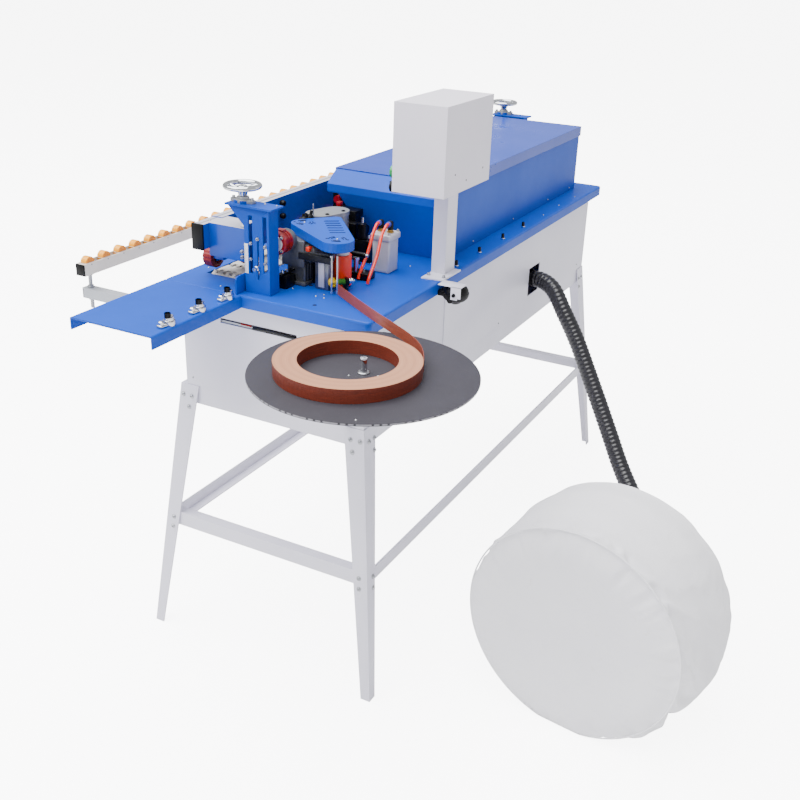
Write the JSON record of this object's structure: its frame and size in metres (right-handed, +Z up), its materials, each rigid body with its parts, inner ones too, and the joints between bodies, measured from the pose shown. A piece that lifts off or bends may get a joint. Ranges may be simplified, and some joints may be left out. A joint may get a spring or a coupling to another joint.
{
  "type": "edge banding machine",
  "caption": "Small through-feed edge bander: white stand and cabinet, blue table and lidded hood, tape reel, roller rail, switch box and dust bag.",
  "frame": {"origin": "centre of the bounding box of everything except the dust hose, at floor level", "axes": "+X is the way boards feed, from the infeed table to the outfeed end; +Y is the work side with the roller rail; +Z is up"},
  "size_m": [1.905, 1.5323, 1.295],
  "materials": {
    "leg_paint": "gloss white powder coat",
    "frame_paint": "gloss white powder coat",
    "stretcher_paint": "gloss white powder coat",
    "cabinet_paint": "gloss white powder coat",
    "panel_paint": "gloss white powder coat",
    "table_paint": "gloss blue powder coat",
    "infeed_paint": "gloss blue powder coat",
    "fence_paint": "gloss blue powder coat",
    "column_paint": "gloss blue powder coat",
    "beam_paint": "gloss blue powder coat",
    "guard_paint": "gloss blue powder coat",
    "hood_paint": "gloss blue powder coat",
    "lid_paint": "gloss blue powder coat",
    "handwheel_chrome": "polished chrome plate",
    "roller_rubber": "ribbed red rubber",
    "chain_pads": "pale grey moulded pads",
    "sprocket_steel": "turned steel",
    "gearbox_cast": "dark grey casting",
    "motor_paint": "gloss red paint",
    "roller_orange": "orange moulding",
    "block_steel": "milled steel",
    "knob_yellow": "yellow moulding",
    "pot_steel": "bead blasted casting",
    "lid_steel": "bead blasted plate",
    "cylinder_white": "pale grey paint",
    "air_hose_red": "see-through red tube",
    "trim_cast": "dark grey paint",
    "arm_paint": "gloss white powder coat",
    "disc_dark": "matt dark grey sheet",
    "tape_brown": "satin brown tape",
    "strip_brown": "satin brown tape",
    "box_paint": "fine textured white powder coat",
    "button_green": "green moulding",
    "knob_black": "black moulding",
    "regulator_black": "black moulding",
    "rail_alu": "pale anodised section",
    "arm_grey": "pale grey paint",
    "wheel_orange": "orange moulding",
    "bag_fabric": "white non-woven cloth",
    "hose_black": "black corrugated hose"
  },
  "bodies": {
    "machine": {"leg_infeed_rear": "leg_paint", "leg_infeed_front": "leg_paint", "leg_outfeed_rear": "leg_paint", "leg_outfeed_front": "leg_paint", "top_frame": "frame_paint", "stretcher_infeed": "stretcher_paint", "stretcher_outfeed": "stretcher_paint", "stretcher_rear": "stretcher_paint", "stretcher_front": "stretcher_paint", "cabinet": "cabinet_paint", "side_panel": "panel_paint", "table_top": "table_paint", "infeed_table": "infeed_paint", "infeed_column": "column_paint", "outfeed_column": "column_paint", "feed_chain": "chain_pads", "belt_guard": "guard_paint", "gearbox": "gearbox_cast", "glue_motor": "motor_paint", "tape_guide_block": "block_steel", "glue_pot": "pot_steel", "air_cylinder": "cylinder_white", "air_hose_a": "air_hose_red", "air_hose_b": "air_hose_red", "trim_unit": "trim_cast", "reel_arm": "arm_paint", "tape_strip": "strip_brown", "hood_body": "hood_paint", "box_column": "box_paint", "electric_box": "box_paint", "air_regulator": "regulator_black", "dust_bag": "bag_fabric", "dust_hose": "hose_black"},
    "pressure_beam": {"pressure_beam": "beam_paint"},
    "roller_rail": {"rail_tube": "rail_alu", "rail_arm_infeed": "arm_grey", "rail_arm_outfeed": "arm_grey"},
    "infeed_handwheel": {"infeed_handwheel": "handwheel_chrome"},
    "outfeed_handwheel": {"outfeed_handwheel": "handwheel_chrome"},
    "pressure_roller_1": {"pressure_roller_1": "roller_rubber"},
    "pressure_roller_2": {"pressure_roller_2": "roller_rubber"},
    "pressure_roller_3": {"pressure_roller_3": "roller_rubber"},
    "pressure_roller_4": {"pressure_roller_4": "roller_rubber"},
    "guide_fence": {"guide_fence": "fence_paint"},
    "drive_sprocket": {"drive_sprocket": "sprocket_steel"},
    "press_roller": {"press_roller": "roller_orange"},
    "tape_guide_knob": {"tape_guide_knob": "knob_yellow"},
    "pot_lid": {"pot_lid": "lid_steel"},
    "reel_disc": {"reel_disc": "disc_dark"},
    "tape_roll": {"tape_roll": "tape_brown"},
    "hood_lid": {"hood_lid": "lid_paint"},
    "green_button": {"green_button": "button_green"},
    "control_knob": {"control_knob": "knob_black"},
    "rail_wheel_01": {"rail_wheel_01": "wheel_orange"},
    "rail_wheel_05": {"rail_wheel_05": "wheel_orange"},
    "rail_wheel_09": {"rail_wheel_09": "wheel_orange"},
    "rail_wheel_13": {"rail_wheel_13": "wheel_orange"},
    "rail_wheel_17": {"rail_wheel_17": "wheel_orange"},
    "rail_wheel_21": {"rail_wheel_21": "wheel_orange"},
    "rail_wheel_25": {"rail_wheel_25": "wheel_orange"}
  },
  "joints": [
    {"name": "infeed_handwheel_turn", "type": "hinge", "parent": "machine", "child": "infeed_handwheel", "pos_m": [-0.5005, 0.3052, 1.126], "axis": [0, 0, 1], "range_deg": [-485, 2885]},
    {"name": "outfeed_handwheel_turn", "type": "hinge", "parent": "machine", "child": "outfeed_handwheel", "pos_m": [0.8815, 0.3052, 1.126], "axis": [0, 0, 1], "range_deg": [-485, 2885]},
    {"name": "beam_lift", "type": "slide", "parent": "machine", "child": "pressure_beam", "axis": [0, 0, 1], "range_m": [-0.004, 0.024]},
    {"name": "pressure_roller_1_spin", "type": "hinge", "parent": "pressure_beam", "child": "pressure_roller_1", "pos_m": [-0.4525, 0.4252, 0.94], "axis": [0, 1, 0], "continuous": true},
    {"name": "pressure_roller_2_spin", "type": "hinge", "parent": "pressure_beam", "child": "pressure_roller_2", "pos_m": [-0.3925, 0.3722, 0.94], "axis": [0, 1, 0], "continuous": true},
    {"name": "pressure_roller_3_spin", "type": "hinge", "parent": "pressure_beam", "child": "pressure_roller_3", "pos_m": [0.7875, 0.3722, 0.94], "axis": [0, 1, 0], "continuous": true},
    {"name": "pressure_roller_4_spin", "type": "hinge", "parent": "pressure_beam", "child": "pressure_roller_4", "pos_m": [0.8475, 0.4252, 0.94], "axis": [0, 1, 0], "continuous": true},
    {"name": "guide_fence_slide", "type": "slide", "parent": "machine", "child": "guide_fence", "axis": [0, 1, 0], "range_m": [0, 0.01]},
    {"name": "drive_sprocket_spin", "type": "hinge", "parent": "machine", "child": "drive_sprocket", "pos_m": [-0.4285, 0.3897, 0.85], "axis": [0, 1, 0], "continuous": true},
    {"name": "press_roller_spin", "type": "hinge", "parent": "machine", "child": "press_roller", "pos_m": [-0.3745, 0.1402, 0.9375], "axis": [0, 0, 1], "continuous": true},
    {"name": "tape_guide_knob_turn", "type": "hinge", "parent": "machine", "child": "tape_guide_knob", "pos_m": [-0.4155, 0.1312, 0.92], "axis": [0.7507, -0.6606, 0], "range_deg": [-180, 180]},
    {"name": "pot_lid_hinge", "type": "hinge", "parent": "machine", "child": "pot_lid", "pos_m": [-0.2465, 0.2972, 1.0113], "axis": [-1, 0, 0], "range_deg": [0, 100]},
    {"name": "reel_disc_spin", "type": "hinge", "parent": "machine", "child": "reel_disc", "pos_m": [-0.7415, -0.1258, 0.885], "axis": [0, 0, 1], "continuous": true},
    {"name": "tape_roll_spin", "type": "hinge", "parent": "machine", "child": "tape_roll", "pos_m": [-0.7565, -0.1018, 0.9], "axis": [0, 0, 1], "continuous": true},
    {"name": "hood_lid_hinge", "type": "hinge", "parent": "machine", "child": "hood_lid", "pos_m": [0.3715, 0.3298, 1.0583], "axis": [-1, 0, 0], "range_deg": [0, 95]},
    {"name": "green_button_press", "type": "slide", "parent": "machine", "child": "green_button", "axis": [0, -1, 0], "range_m": [0, 0.004], "stiffness_N_per_m": 600},
    {"name": "control_knob_turn", "type": "hinge", "parent": "machine", "child": "control_knob", "pos_m": [-0.2945, 0.0607, 1.114], "axis": [0, 1, 0], "range_deg": [-135, 135]},
    {"name": "rail_extend", "type": "slide", "parent": "machine", "child": "roller_rail", "axis": [0, 1, 0], "range_m": [-0.1, 0.1]},
    {"name": "rail_wheel_01_spin", "type": "hinge", "parent": "roller_rail", "child": "rail_wheel_01", "pos_m": [-0.5055, 0.7522, 0.8835], "axis": [0, 1, 0], "continuous": true},
    {"name": "rail_wheel_05_spin", "type": "hinge", "parent": "roller_rail", "child": "rail_wheel_05", "pos_m": [-0.2875, 0.7522, 0.8835], "axis": [0, 1, 0], "continuous": true},
    {"name": "rail_wheel_09_spin", "type": "hinge", "parent": "roller_rail", "child": "rail_wheel_09", "pos_m": [-0.0695, 0.7522, 0.8835], "axis": [0, 1, 0], "continuous": true},
    {"name": "rail_wheel_13_spin", "type": "hinge", "parent": "roller_rail", "child": "rail_wheel_13", "pos_m": [0.1485, 0.7522, 0.8835], "axis": [0, 1, 0], "continuous": true},
    {"name": "rail_wheel_17_spin", "type": "hinge", "parent": "roller_rail", "child": "rail_wheel_17", "pos_m": [0.3665, 0.7522, 0.8835], "axis": [0, 1, 0], "continuous": true},
    {"name": "rail_wheel_21_spin", "type": "hinge", "parent": "roller_rail", "child": "rail_wheel_21", "pos_m": [0.5845, 0.7522, 0.8835], "axis": [0, 1, 0], "continuous": true},
    {"name": "rail_wheel_25_spin", "type": "hinge", "parent": "roller_rail", "child": "rail_wheel_25", "pos_m": [0.8025, 0.7522, 0.8835], "axis": [0, 1, 0], "continuous": true}
  ],
  "couplings": [
    {"joint": "infeed_handwheel_turn", "follows": "beam_lift", "rad_per_m": 2094.4},
    {"joint": "outfeed_handwheel_turn", "follows": "beam_lift", "rad_per_m": 2094.4},
    {"joint": "tape_roll_spin", "follows": "reel_disc_spin", "ratio": 1}
  ]
}
